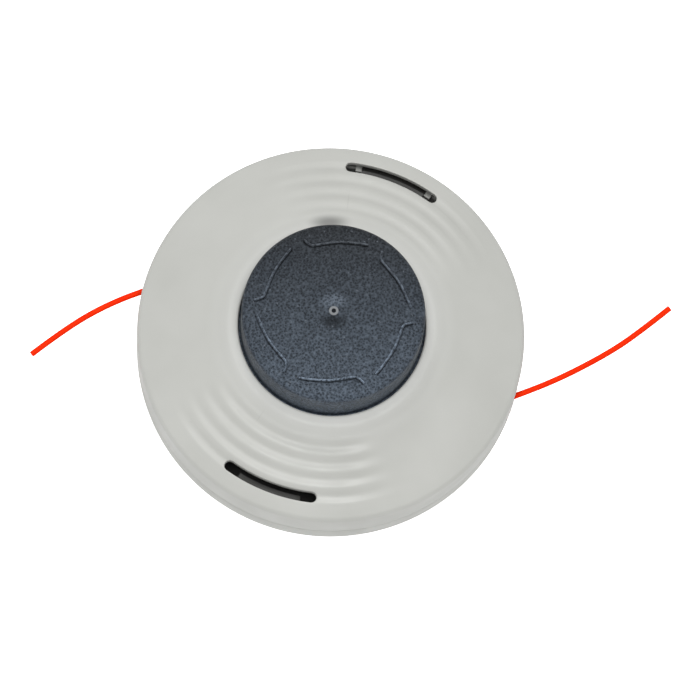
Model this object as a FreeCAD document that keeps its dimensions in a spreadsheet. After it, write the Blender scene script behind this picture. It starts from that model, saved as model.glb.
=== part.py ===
# Bump feed line trimmer head, lying on its back: the mounting face at z = 0, the bump knob on top.
# The line eyelets lie on the X axis. Lengths are in millimetres and angles in degrees.
import FreeCAD, Part
import Sketcher
import math
import os

Vector = FreeCAD.Vector

# Driving dimensions
DIMENSIONS = {
    # gaps between pieces
    "running_gap": 0.3,
    "seat_gap": 0.05,
    "floor_gap": 0.8,
    # upper housing
    "rim_radius": 65.0,
    "housing_wall": 2.7,
    "floor_height": 6.0,
    "shoulder_round": 9.5,
    "hub_radius": 12.5,
    "hub_cover": 3.0,
    "boss_radius": 21.5,
    "boss_wall": 3.0,
    "stiffener_count": 10,
    "stiffener_width": 2.0,
    "stiffener_drop": 4.5,
    "lip_height": 2.0,
    "lip_wall": 2.2,
    "lip_rise": 1.4,
    "post_radius": 20.0,
    "post_wall": 2.5,
    # threaded insert
    "thread_bore": 4.32,
    "thread_chamfer": 0.8,
    "insert_radius": 9.8,
    "insert_length": 12.0,
    "spindle_room": 5.4,
    # locking dogs
    "dog_count": 6,
    "dog_half_angle": 3.5,
    "dog_free_angle": 0.5,
    "dog_row_shift": 15.0,
    "dog_height": 4.0,
    "dog_lift": 10.5,
    "dog_margin": 0.5,
    "post_cover": 1.5,
    # spool and knob
    "press_travel": 7.0,
    "flange_room": 12.6,
    "flange_wall": 2.0,
    "partition_wall": 1.2,
    "chamber_height": 8.0,
    "drum_radius": 26.5,
    "drum_wall": 2.5,
    "neck_height": 7.0,
    "shoulder_reach": 2.5,
    "shoulder_height": 1.8,
    "knob_gap": 0.8,
    "knob_wall": 3.0,
    "knob_stand": 17.0,
    "knob_round": 3.0,
    "seat_width": 4.0,
    "seat_lift": 0.5,
    "face_rib_count": 6,
    "face_rib_radius": 24.0,
    "face_rib_width": 0.9,
    "face_rib_height": 0.5,
    "face_rib_start": 21.5,
    "face_rib_sweep": 43.0,
    "face_rib_hook": 2.6,
    "face_rib_hook_sweep": 5.0,
    "face_rib_hook_width": 2.0,
    "gate_radius": 1.35,
    "gate_hole": 0.6,
    "gate_height": 0.45,
    "gate_depth": 0.8,
    "gate_mound": 5.4,
    "gate_mound_height": 0.3,
    # lower cap
    "cap_wall": 2.4,
    "dome_rise": 11.0,
    "dome_radius": 80.0,
    "rim_round": 4.5,
    "rim_thickening": 0.7,
    "hole_radius": 31.3,
    "hole_round": 0.7,
    "collar_width": 3.4,
    "step_run": 4.0,
    "step_rise": 1.6,
    "slot_angle": 87.0,
    "slot_width": 3.4,
    "slot_half_angle": 15.5,
    "ripple_count": 4,
    "ripple_first": 41.0,
    "ripple_pitch": 5.2,
    "ripple_depth": 0.5,
    "ripple_round": 3.2,
    "ripple_half_angle": 44.0,
    # snap latches under the slots
    "ledge_depth": 3.4,
    "ledge_height": 2.8,
    "ledge_half_angle": 13.0,
    "latch_wall": 2.6,
    "latch_half_angle": 11.0,
    "latch_gap": 0.6,
    "barb_height": 2.4,
    "barb_reach": 2.4,
    # line eyelets
    "eyelet_body": 4.6,
    "eyelet_flange": 5.8,
    "eyelet_flange_wall": 1.5,
    "eyelet_throat": 2.6,
    "eyelet_mouth": 4.3,
    "eyelet_recess": 1.7,
    # spring and thrust washer
    "spring_wire": 1.8,
    "spring_half_turns": 9,
    "spring_gap": 1.6,
    "washer_wall": 1.2,
    "washer_reach": 3.5,
    # cutting line
    "line_diameter": 2.0,
    "winding_depth": 10.5,
    "winding_turns": 4,
    "winding_ridge": 0.6,
}

# Cutting line routes in the plane of the eyelets, from inside the head to the cut end
LINE_ROUTES = {
    "line_right": [(51.6, -8.0), (64.2, 2.0), (77.3, 13.2), (90.5, 27.3), (98.4, 38.1), (105.1, 48.7)],
    "line_left": [(-52.2, 7.0), (-63.4, -1.2), (-75.3, -11.3), (-85.6, -23.3), (-93.8, -35.9)],
}
# Share of the shorter run that an arc of the line takes up
ARC_SHARE = 0.45

HALF_TURN = 180


# A number together with the sheet formula that gives it
class Size:
    def __init__(self, value, text):
        self.value = value
        self.text = text

    @staticmethod
    def of(item):
        return item if isinstance(item, Size) else Size(float(item), repr(item))

    def __add__(self, other):
        other = Size.of(other)
        return Size(self.value + other.value, f"({self.text} + {other.text})")

    def __sub__(self, other):
        other = Size.of(other)
        return Size(self.value - other.value, f"({self.text} - {other.text})")

    def __mul__(self, other):
        other = Size.of(other)
        return Size(self.value * other.value, f"({self.text} * {other.text})")

    def __truediv__(self, other):
        other = Size.of(other)
        return Size(self.value / other.value, f"({self.text} / {other.text})")

    def __neg__(self):
        return Size(-self.value, f"(0 - {self.text})")

    def root(self):
        return Size(math.sqrt(self.value), f"sqrt({self.text})")

    def cos(self):
        return Size(math.cos(math.radians(self.value)), f"cos({self.text})")

    def sin(self):
        return Size(math.sin(math.radians(self.value)), f"sin({self.text})")

    # angle that this width takes up at a radius
    def over_arc(self, radius):
        return self / radius * HALF_TURN / math.pi


ZERO = Size(0.0, "0")

doc = FreeCAD.newDocument("TrimmerHead")
sheet = doc.addObject("Spreadsheet::Sheet", "Sizes")
for row, (alias, number) in enumerate(DIMENSIONS.items(), start=1):
    sheet.set(f"A{row}", alias)
    sheet.set(f"B{row}", str(number))
    sheet.setAlias(f"B{row}", alias)
doc.recompute()


def size(alias):
    return Size(float(sheet.get(alias)), f"Sizes.{alias}")


def count(alias):
    return int(sheet.get(alias))


def polar(radius, angle):
    return radius * angle.cos(), radius * angle.sin()


def bind(thing, prop, amount):
    thing.setExpression(prop, amount.text)


# Sketches and features

def new_body(label):
    body = doc.addObject("PartDesign::Body", label)
    body.Label = label
    return body


def origin_feature(body, role):
    return next(feature for feature in body.Origin.OriginFeatures if feature.Role == role)


def new_sketch(body, name, role, turn=None, lift=None):
    sketch = body.newObject("Sketcher::SketchObject", name)
    sketch.AttachmentSupport = [(origin_feature(body, role), "")]
    sketch.MapMode = "FlatFace"
    if turn:
        sketch.AttachmentOffset = FreeCAD.Placement(Vector(), FreeCAD.Rotation(Vector(0, 1, 0), turn.value))
        bind(sketch, "AttachmentOffset.Rotation.Angle", turn)
    if lift:
        bind(sketch, "AttachmentOffset.Base.z", lift)
    return sketch


def arc_edge(start, end, radius, side):
    chord = end - start
    normal = Vector(-chord.y, chord.x, 0).normalize()
    if side == "right":
        normal = -normal
    centre = (start + end) / 2 + normal * math.sqrt(radius ** 2 - chord.Length ** 2 / 4)
    circle = Part.Circle(centre, Vector(0, 0, 1), radius)
    first, last = (start, end) if side == "left" else (end, start)
    return Part.ArcOfCircle(circle, circle.parameter(first), circle.parameter(last))


# Ties one sketch vertex to its two coordinates
def pin_vertex(rules, formulas, geometry, vertex, x, y):
    for kind, amount, axis in (("DistanceX", x, -2), ("DistanceY", y, -1)):
        if amount is ZERO:
            rules.append(Sketcher.Constraint("PointOnObject", geometry, vertex, axis))
        else:
            formulas[len(rules)] = amount
            rules.append(Sketcher.Constraint(kind, -1, 1, geometry, vertex, amount.value))


def set_rules(sketch, rules, formulas):
    sketch.addConstraint(rules)
    for index, amount in formulas.items():
        bind(sketch, f"Constraints[{index}]", amount)


# Draws a closed outline. A corner is (x, y) at the end of a straight edge,
# or (x, y, radius, side) at the end of an arc whose centre lies on that side of the way travelled.
def outline(sketch, corners):
    rules = []
    formulas = {}
    ends = []
    for index, corner in enumerate(corners):
        before = corners[index - 1]
        start = Vector(before[0].value, before[1].value, 0)
        end = Vector(corner[0].value, corner[1].value, 0)
        if len(corner) == 2:
            sketch.addGeometry(Part.LineSegment(start, end), False)
            ends.append((1, 2))
        else:
            radius, side = corner[2:]
            sketch.addGeometry(arc_edge(start, end, radius.value, side), False)
            ends.append((1, 2) if side == "left" else (2, 1))
            formulas[len(rules)] = radius
            rules.append(Sketcher.Constraint("Radius", index, radius.value))
    for index, corner in enumerate(corners):
        after = (index + 1) % len(corners)
        rules.append(Sketcher.Constraint("Coincident", index, ends[index][1], after, ends[after][0]))
        pin_vertex(rules, formulas, index, ends[index][1], corner[0], corner[1])
    set_rules(sketch, rules, formulas)


def circle_outline(sketch, x, y, radius):
    centre = Vector(x.value, y.value, 0)
    sketch.addGeometry(Part.Circle(centre, Vector(0, 0, 1), radius.value), False)
    rules = [Sketcher.Constraint("Radius", 0, radius.value)]
    formulas = {0: radius}
    pin_vertex(rules, formulas, 0, 3, x, y)
    set_rules(sketch, rules, formulas)


def turned(body, name, corners, middle):
    sketch = new_sketch(body, name + "_section", "XZ_Plane", turn=middle)
    outline(sketch, corners)
    feature = body.newObject("PartDesign::Revolution", name)
    feature.Profile = sketch
    feature.ReferenceAxis = (sketch, ["V_Axis"])
    body.Tip = feature
    return feature


# Turns an outline of (radius, height) corners all round the body's axis
def turn_round(body, name, corners):
    feature = turned(body, name, corners, SEAM_ANGLE)
    feature.Angle = 360


# Turns an outline over a sector, half of it on each side of the middle angle
def turn_sector(body, name, corners, half, middle=None):
    feature = turned(body, name, corners, middle)
    feature.Midplane = True
    bind(feature, "Angle", half * 2)
    return feature


def repeat(body, name, features, copies):
    pattern = body.newObject("PartDesign::PolarPattern", name)
    pattern.Originals = features
    pattern.Axis = (origin_feature(body, "Z_Axis"), [""])
    pattern.Angle = 360
    pattern.Occurrences = copies
    body.Tip = pattern
    return pattern


def block(inner, outer, bottom, top):
    return [(inner, bottom), (outer, bottom), (outer, top), (inner, top)]


# Rounds the circular edges of one radius and height
def round_edges(body, name, radius, height, amount):
    doc.recompute()
    base = body.Tip
    names = []
    for index, edge in enumerate(base.Shape.Edges, start=1):
        curve = edge.Curve
        if not isinstance(curve, Part.Circle):
            continue
        if abs(curve.Radius - radius.value) < 1e-4 and abs(curve.Center.z - height.value) < 1e-4:
            names.append(f"Edge{index}")
    fillet = body.newObject("PartDesign::Fillet", name)
    fillet.Base = (base, names)
    bind(fillet, "Radius", amount)
    body.Tip = fillet


# Round recess along the X axis, cut inwards at both sides of the head.
# Its circle starts off the split plane, where the two shells meet.
def cross_holes(body, name, radius, outer_reach, inner_reach):
    sketch = new_sketch(body, name + "_circle", "YZ_Plane")
    sketch.AttachmentOffset = FreeCAD.Placement(Vector(), FreeCAD.Rotation(Vector(0, 0, 1), HALF_TURN / 4))
    bind(sketch, "AttachmentOffset.Base.y", split_height)
    bind(sketch, "AttachmentOffset.Base.z", outer_reach)
    circle_outline(sketch, ZERO, ZERO, radius)
    pocket = body.newObject("PartDesign::Pocket", name)
    pocket.Profile = sketch
    bind(pocket, "Length", outer_reach - inner_reach)
    body.Tip = pocket
    repeat(body, name + "_pair", [pocket], 2)


# Seats of the eyelets: a hole for the bush, and flat recesses for its two flanges
def eyelet_seats(body):
    outside = rim_radius + PAST_WALL
    flange_room = size("eyelet_flange") + size("running_gap")
    cross_holes(body, "eyelet_hole", size("eyelet_body") + size("seat_gap"), outside, latch_inside)
    cross_holes(body, "outer_flange_recess", flange_room, outside, recess_radius)
    cross_holes(body, "inner_flange_recess", flange_room, lip_inside, latch_inside)


# Heights, from the mounting face up
floor_top = size("floor_height") + size("housing_wall")
spool_bottom = floor_top + size("press_travel") + size("floor_gap")
lower_flange_top = spool_bottom + size("flange_wall")
split_height = lower_flange_top + size("chamber_height") / 2
partition_bottom = lower_flange_top + size("chamber_height")
partition_top = partition_bottom + size("partition_wall")
upper_flange_bottom = partition_top + size("chamber_height")
spool_top = upper_flange_bottom + size("flange_wall")
collar_underside = spool_top + size("neck_height")
collar_top = collar_underside + size("cap_wall")
rim_height = collar_top - size("dome_rise")
rim_inside = rim_height - size("cap_wall") - size("rim_thickening")
foot_height = collar_top - size("step_rise")
knob_top = collar_top + size("knob_stand")
seat_height = collar_underside + size("seat_lift")
washer_top = seat_height - size("seat_gap")
washer_bottom = washer_top - size("washer_wall")
dog_bottom = spool_bottom + size("dog_lift")
dog_top = dog_bottom + size("dog_height")
post_top = dog_top + size("dog_margin") + size("post_cover")
latch_top = rim_inside - size("latch_gap")
barb_bottom = latch_top - size("barb_height")
ledge_top = barb_bottom - size("running_gap")

# Radii
rim_radius = size("rim_radius")
cap_inside = rim_radius - size("cap_wall")
lip_outside = cap_inside - size("running_gap")
lip_inside = lip_outside - size("lip_wall")
housing_inside = rim_radius - size("housing_wall")
ledge_radius = cap_inside - size("ledge_depth")
latch_outside = ledge_radius - size("running_gap")
latch_inside = latch_outside - size("latch_wall")
slot_radius = latch_outside - size("latch_wall") / 2
flange_radius = cap_inside - size("flange_room")
bore_radius = size("drum_radius") - size("drum_wall")
post_radius = size("post_radius")
post_inside = post_radius - size("post_wall")
seat_radius = post_inside - size("spring_gap") - size("spring_wire") / 2
seat_outside = seat_radius + size("seat_width") / 2
seat_inside = seat_radius - size("seat_width") / 2
spigot_radius = seat_radius - size("spring_wire") / 2 - size("spring_gap")
dog_tip = bore_radius - size("running_gap") * 2
spool_dog_tip = post_radius + size("running_gap") * 2
knob_radius = size("hole_radius") - size("knob_gap")
shoulder_radius = size("hole_radius") + size("shoulder_reach")
collar_radius = size("hole_radius") + size("collar_width")
foot_radius = collar_radius + size("step_run")
recess_radius = rim_radius - size("eyelet_recess")
eyelet_centre = (recess_radius + lip_inside) / 2

# How far cuts run past a wall, and how deep added features are rooted in theirs
PAST_WALL = Size.of(3.0)
ROOTED = Size.of(0.6)
# Where the seam of the turned pieces lies, clear of every other feature
SEAM_ANGLE = Size.of(130.0)


def upper_housing():
    body = new_body("upper_housing")
    hub = size("hub_radius")
    hub_top = size("insert_length") + size("hub_cover")
    boss = size("boss_radius")
    boss_inside = boss - size("boss_wall")
    floor = size("floor_height")
    shoulder = size("shoulder_round")
    lip_slope = floor + shoulder + size("lip_rise")
    turn_round(body, "housing_bowl", [
        (ZERO, ZERO),
        (hub, ZERO),
        (hub, floor),
        (boss_inside, floor),
        (boss_inside, ZERO),
        (boss, ZERO),
        (boss, floor),
        (rim_radius - shoulder, floor),
        (rim_radius, floor + shoulder, shoulder, "left"),
        (rim_radius, split_height),
        (lip_outside, split_height),
        (lip_outside, split_height + size("lip_height")),
        (lip_inside, split_height + size("lip_height")),
        (lip_inside, lip_slope + size("lip_wall")),
        (housing_inside, lip_slope),
        (housing_inside, floor + shoulder),
        (rim_radius - shoulder, floor_top, shoulder - size("housing_wall"), "right"),
        (post_radius, floor_top),
        (post_radius, post_top),
        (post_inside, post_top),
        (post_inside, floor_top),
        (spigot_radius, floor_top),
        (spigot_radius, hub_top),
        (ZERO, hub_top),
    ])

    # radial stiffeners on the machine's side, deepest at the boss
    stiffener_end = rim_radius - shoulder
    sketch = new_sketch(body, "stiffener_section", "XZ_Plane")
    outline(sketch, [
        (boss_inside + ROOTED, floor - size("stiffener_drop")),
        (boss, floor - size("stiffener_drop")),
        (stiffener_end, floor),
        (stiffener_end, floor + ROOTED),
        (boss_inside + ROOTED, floor + ROOTED),
    ])
    stiffener = body.newObject("PartDesign::Pad", "stiffener")
    stiffener.Profile = sketch
    stiffener.Midplane = True
    bind(stiffener, "Length", size("stiffener_width"))
    body.Tip = stiffener
    repeat(body, "stiffeners", [stiffener], count("stiffener_count"))

    # locking dogs round the post
    half = size("dog_half_angle")
    dog = turn_sector(body, "post_dog", block(
        post_radius - ROOTED, dog_tip, dog_bottom - size("dog_margin"), dog_top + size("dog_margin"),
    ), half)
    repeat(body, "post_dogs", [dog], count("dog_count"))

    # snap latches that reach up to the cap's slots
    latch = turn_sector(body, "latch", [
        (latch_inside, floor + size("housing_wall") / 2),
        (latch_outside, floor + size("housing_wall") / 2),
        (latch_outside, barb_bottom),
        (latch_outside + size("barb_reach"), barb_bottom),
        (latch_outside, latch_top),
        (latch_inside, latch_top),
    ], size("latch_half_angle"), size("slot_angle"))
    repeat(body, "latches", [latch], 2)

    # seat of the threaded insert, with room for the spindle beyond it
    pocket = body.newObject("PartDesign::SubtractivePrism", "insert_pocket")
    pocket.Polygon = 6
    bind(pocket, "Circumradius", size("insert_radius") + size("seat_gap"))
    bind(pocket, "Height", size("insert_length") + size("seat_gap"))
    body.Tip = pocket
    relief = body.newObject("PartDesign::SubtractiveCylinder", "spindle_relief")
    bind(relief, "Radius", size("spindle_room"))
    bind(relief, "Height", hub_top)
    body.Tip = relief

    eyelet_seats(body)
    return body


def threaded_insert():
    block_body = doc.addObject("Part::Prism", "insert_block")
    block_body.Polygon = 6
    bind(block_body, "Circumradius", size("insert_radius"))
    bind(block_body, "Height", size("insert_length"))
    bore = doc.addObject("Part::Cylinder", "insert_bore")
    bind(bore, "Radius", size("thread_bore"))
    bind(bore, "Height", size("insert_length"))
    lead_in = doc.addObject("Part::Cone", "insert_lead_in")
    bind(lead_in, "Radius1", size("thread_bore") + size("thread_chamfer"))
    bind(lead_in, "Radius2", size("thread_bore"))
    bind(lead_in, "Height", size("thread_chamfer"))
    opening = doc.addObject("Part::Fuse", "insert_opening")
    opening.Base = bore
    opening.Tool = lead_in
    insert = doc.addObject("Part::Cut", "threaded_insert")
    insert.Base = block_body
    insert.Tool = opening
    insert.Label = "threaded_insert"
    return insert


# Height of the cap's domed face at a radius
def dome_height(radius):
    run = rim_radius - foot_radius
    rise = foot_height - rim_height
    chord = (run * run + rise * rise).root()
    dome = size("dome_radius")
    reach = (dome * dome - chord * chord / 4).root()
    centre_radius = (rim_radius + foot_radius) / 2 - reach * rise / chord
    centre_height = (rim_height + foot_height) / 2 - reach * run / chord
    offset = radius - centre_radius
    return centre_height + (dome * dome - offset * offset).root()


# One shallow ripple: a round groove turned about a leaning axis, so that it runs out at both ends
def ripple(body, index):
    radius = size("ripple_first") + size("ripple_pitch") * index
    depth = size("ripple_depth")
    height = dome_height(radius) + size("ripple_round") - depth
    axis_length = size("dome_rise")
    lean = axis_length * depth / (radius * (Size.of(1) - size("ripple_half_angle").cos()))
    sketch = new_sketch(body, f"ripple_{index}_section", "XZ_Plane", turn=size("slot_angle"))
    circle_outline(sketch, radius, height, size("ripple_round"))
    foot = Vector(0, height.value, 0)
    tip = Vector(lean.value, height.value + axis_length.value, 0)
    line = sketch.addGeometry(Part.LineSegment(foot, tip), True)
    for vertex, x, y in ((1, ZERO, height), (2, lean, height + axis_length)):
        for kind, amount, axis in (("DistanceX", x, -2), ("DistanceY", y, -1)):
            if amount is ZERO:
                sketch.addConstraint(Sketcher.Constraint("PointOnObject", line, vertex, axis))
                continue
            rule = sketch.addConstraint(Sketcher.Constraint(kind, -1, 1, line, vertex, amount.value))
            bind(sketch, f"Constraints[{rule}]", amount)
    groove = body.newObject("PartDesign::Groove", f"ripple_{index}")
    groove.Profile = sketch
    groove.ReferenceAxis = (sketch, ["Axis0"])
    groove.Midplane = True
    bind(groove, "Angle", size("ripple_half_angle") * 2)
    body.Tip = groove
    return groove


def lower_cap():
    body = new_body("lower_cap")
    hole = size("hole_radius")
    dome = size("dome_radius")
    turn_round(body, "cap_shell", [
        (cap_inside, split_height),
        (rim_radius, split_height),
        (rim_radius, rim_height),
        (foot_radius, foot_height, dome, "left"),
        (collar_radius, collar_top),
        (hole, collar_top),
        (hole, collar_underside),
        (collar_radius, collar_underside),
        (foot_radius, foot_height - size("cap_wall")),
        (cap_inside, rim_inside, dome - size("cap_wall"), "right"),
    ])
    round_edges(body, "rim_rounding", rim_radius, rim_height, size("rim_round"))
    round_edges(body, "step_rounding", collar_radius, collar_top, size("step_run"))
    round_edges(body, "hole_rounding", hole, collar_top, size("hole_round"))

    # catches that the latches hold
    ledge = turn_sector(body, "ledge", block(
        ledge_radius, cap_inside + ROOTED, ledge_top - size("ledge_height"), ledge_top,
    ), size("ledge_half_angle"), size("slot_angle"))
    repeat(body, "ledges", [ledge], 2)

    ripples = [ripple(body, index) for index in range(count("ripple_count"))]
    repeat(body, "ripples", ripples, 2)

    # arc slots above the latches
    half = size("slot_half_angle")
    half_width = size("slot_width") / 2
    inner = slot_radius - half_width
    outer = slot_radius + half_width
    top = knob_top
    sketch = new_sketch(body, "slot_outline", "XY_Plane", lift=top)
    first = size("slot_angle") - half
    last = size("slot_angle") + half
    slot_end = half_width.over_arc(slot_radius)
    outline(sketch, [
        (*polar(inner, first), inner, "right"),
        (*polar(slot_radius, first - slot_end), half_width, "left"),
        (*polar(outer, first), half_width, "left"),
        (*polar(outer, last), outer, "left"),
        (*polar(slot_radius, last + slot_end), half_width, "left"),
        (*polar(inner, last), half_width, "left"),
    ])
    slot = body.newObject("PartDesign::Pocket", "slot")
    slot.Profile = sketch
    bind(slot, "Length", top - rim_inside)
    body.Tip = slot
    repeat(body, "slots", [slot], 2)

    eyelet_seats(body)
    return body


def spool():
    body = new_body("spool")
    drum = size("drum_radius")
    shoulder_top = collar_underside - size("running_gap")
    shoulder_bottom = shoulder_top - size("shoulder_height")
    upper_row_top = dog_top + size("press_travel")
    cavity_step = upper_row_top + size("dog_margin")
    cavity = knob_radius - size("knob_wall")
    ceiling = knob_top - size("knob_wall")
    turn_round(body, "spool_body", [
        (bore_radius, spool_bottom),
        (flange_radius, spool_bottom),
        (flange_radius, lower_flange_top),
        (drum, lower_flange_top),
        (drum, partition_bottom),
        (flange_radius, partition_bottom),
        (flange_radius, partition_top),
        (drum, partition_top),
        (drum, upper_flange_bottom),
        (flange_radius, upper_flange_bottom),
        (flange_radius, spool_top),
        (knob_radius, spool_top),
        (knob_radius, shoulder_bottom - size("shoulder_reach")),
        (shoulder_radius, shoulder_bottom),
        (shoulder_radius, shoulder_top),
        (knob_radius, shoulder_top),
        (knob_radius, knob_top - size("knob_round")),
        (knob_radius - size("knob_round"), knob_top, size("knob_round"), "left"),
        (size("gate_mound"), knob_top),
        (size("gate_radius"), knob_top + size("gate_mound_height")),
        (size("gate_radius"), knob_top + size("gate_height")),
        (size("gate_hole"), knob_top + size("gate_height")),
        (size("gate_hole"), knob_top - size("gate_depth")),
        (ZERO, knob_top - size("gate_depth")),
        (ZERO, ceiling),
        (seat_inside, ceiling),
        (seat_inside, seat_height),
        (seat_outside, seat_height),
        (seat_outside, ceiling),
        (cavity, ceiling),
        (cavity, cavity_step + cavity - bore_radius),
        (bore_radius, cavity_step),
    ])

    # two rows of locking dogs, a press apart, that take turns on the dogs of the post
    half = size("dog_half_angle")
    pitch = Size.of(360) / count("dog_count")
    lower_middle = pitch - half * 2 - size("dog_free_angle")
    upper_middle = lower_middle - size("dog_row_shift")
    rows = (("lower_dog", lower_middle, ZERO), ("upper_dog", upper_middle, size("press_travel")))
    for name, middle, lift in rows:
        dog = turn_sector(body, name, block(
            spool_dog_tip, bore_radius + ROOTED, dog_bottom + lift, dog_top + lift,
        ), half, middle)
        repeat(body, name + "s", [dog], count("dog_count"))

    # raised ribs on the knob's face, each with a hook at one end
    inner = size("face_rib_radius") - size("face_rib_width") / 2
    outer = size("face_rib_radius") + size("face_rib_width") / 2
    start = size("face_rib_start")
    bend = start + size("face_rib_sweep")
    tip = bend + size("face_rib_hook_sweep")
    hook = size("face_rib_radius") + size("face_rib_hook")
    spread = size("face_rib_hook_width") / 2
    sketch = new_sketch(body, "face_rib_outline", "XY_Plane", lift=knob_top - ROOTED)
    outline(sketch, [
        polar(outer, start),
        (*polar(outer, bend), outer, "left"),
        polar(hook, tip - spread),
        polar(hook, tip + spread),
        polar(inner, bend + spread * 2),
        (*polar(inner, start), inner, "right"),
    ])
    rib = body.newObject("PartDesign::Pad", "face_rib")
    rib.Profile = sketch
    bind(rib, "Length", ROOTED + size("face_rib_height"))
    body.Tip = rib
    repeat(body, "face_ribs", [rib], count("face_rib_count"))
    return body


# Line wound in one chamber of the spool, its outer turns showing as ridges
def line_winding(label, bottom, top):
    body = new_body(label)
    turns = count("winding_turns")
    low = bottom + size("seat_gap")
    high = top - size("seat_gap")
    pitch = (high - low) / turns
    inside = size("drum_radius") + size("seat_gap")
    outside = size("drum_radius") + size("winding_depth")
    valley = outside - size("winding_ridge")
    corners = [(inside, low), (valley, low)]
    for turn in range(turns):
        corners.append((outside, low + pitch * (turn + 0.5)))
        corners.append((valley, low + pitch * (turn + 1)))
    corners.append((inside, high))
    turn_round(body, label + "_coil", corners)
    return body


def eyelet(label, side):
    body = new_body(label)
    clamp = (recess_radius - lip_inside) / 2 + size("seat_gap")
    half_length = clamp + size("eyelet_flange_wall")
    flange = size("eyelet_flange")
    core = size("eyelet_body")
    mouth = size("eyelet_mouth")
    swell = mouth - size("eyelet_throat")
    bore_round = (half_length * half_length + swell * swell) / (swell * 2)
    turn_round(body, label + "_bush", [
        (flange, -half_length),
        (flange, -clamp),
        (core, -clamp),
        (core, clamp),
        (flange, clamp),
        (flange, half_length),
        (mouth, half_length),
        (mouth, -half_length, bore_round, "left"),
    ])
    body.Placement = FreeCAD.Placement(Vector(), FreeCAD.Rotation(Vector(0, 1, 0), 90 * side))
    bind(body, "Placement.Base.x", eyelet_centre * side)
    bind(body, "Placement.Base.z", split_height)
    return body


def thrust_washer():
    plate = doc.addObject("Part::Cylinder", "washer_plate")
    bind(plate, "Radius", seat_outside)
    bind(plate, "Height", size("washer_wall"))
    hole = doc.addObject("Part::Cylinder", "washer_hole")
    bind(hole, "Radius", seat_radius - size("washer_reach"))
    bind(hole, "Height", size("washer_wall"))
    washer = doc.addObject("Part::Cut", "thrust_washer")
    washer.Base = plate
    washer.Tool = hole
    washer.Label = "thrust_washer"
    bind(washer, "Placement.Base.z", washer_bottom)
    return washer


# Round wire coil between housing floor and washer. Each half turn is an arc that leans upwards,
# and the half turn at each end lies flat on its seat.
def spring():
    wire = size("spring_wire").value
    radius = seat_radius.value
    rising = count("spring_half_turns")
    low = (floor_top + size("seat_gap")).value + wire / 2
    high = (washer_bottom - size("seat_gap")).value - wire / 2
    rise = (high - low) / rising
    heights = [low] + [low + rise * step for step in range(rising + 1)] + [high]
    halves = []
    side = 1
    for start, end in zip(heights, heights[1:]):
        begin = Vector(side * radius, 0, start)
        centre = Vector(0, 0, (start + end) / 2)
        lean = (begin - centre).cross(Vector(0, side, 0))
        section = Part.Face(Part.Wire(Part.makeCircle(wire / 2, begin, Vector(0, 1, 0))))
        halves.append(section.revolve(centre, lean, HALF_TURN))
        side = -side
    feature = doc.addObject("Part::Feature", "spring")
    feature.Label = "spring"
    feature.Shape = halves[0].multiFuse(halves[1:]).removeSplitter().Solids[0]
    return feature


# Cutting line: straight runs joined by arcs as large as the runs allow
def cutting_line(label, route):
    height = split_height.value
    radius = size("line_diameter").value / 2
    points = [Vector(x, y, height) for x, y in route]
    edges = []
    at = points[0]
    bends = []
    for before, corner, after in zip(points, points[1:], points[2:]):
        back = before - corner
        ahead = after - corner
        setback = ARC_SHARE * min(back.Length, ahead.Length)
        half_turn = (math.pi - back.getAngle(ahead)) / 2
        bends.append(round(setback / math.tan(half_turn), 1))
        back.normalize()
        ahead.normalize()
        start = corner + back * setback
        end = corner + ahead * setback
        inward = (back + ahead).normalize()
        bend = setback / math.tan(half_turn)
        middle = corner + inward * (bend / math.cos(half_turn) - bend)
        edges.append(Part.LineSegment(at, start).toShape())
        edges.append(Part.Arc(start, middle, end).toShape())
        at = end
    edges.append(Part.LineSegment(at, points[-1]).toShape())
    path = Part.Wire(edges)
    section = Part.Wire(Part.makeCircle(radius, points[0], points[1] - points[0]))
    tube = path.makePipeShell([section], True, True)
    share = tube.Volume / (math.pi * radius ** 2 * path.Length)
    print(label, "bend radii", bends, "length", round(path.Length, 1), "volume share", round(share, 4))
    feature = doc.addObject("Part::Feature", label)
    feature.Label = label
    feature.Shape = tube
    return feature


parts = [
    upper_housing(),
    threaded_insert(),
    lower_cap(),
    spool(),
    line_winding("line_winding_lower", lower_flange_top, partition_bottom),
    line_winding("line_winding_upper", partition_top, upper_flange_bottom),
    eyelet("eyelet_right", 1),
    eyelet("eyelet_left", -1),
    thrust_washer(),
    spring(),
]
parts += [cutting_line(label, route) for label, route in LINE_ROUTES.items()]
doc.recompute()

for item in doc.Objects:
    if "Invalid" in item.State or "Error" in item.State:
        raise RuntimeError(f"{item.Label} did not build: {item.State}")
os.makedirs("parts", exist_ok=True)
for item in parts:
    shape = item.Shape
    if shape.isNull() or not shape.isValid() or len(shape.Solids) != 1:
        raise RuntimeError(f"{item.Label} is not one valid solid")
    shape.exportStep(f"parts/{item.Label}.step")
    box = shape.BoundBox
    print(item.Label, round(shape.Volume), "mm3, z", round(box.ZMin, 2), "to", round(box.ZMax, 2))
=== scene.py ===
import math

import bmesh
import bpy
from mathutils import Matrix, Quaternion, Vector


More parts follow.
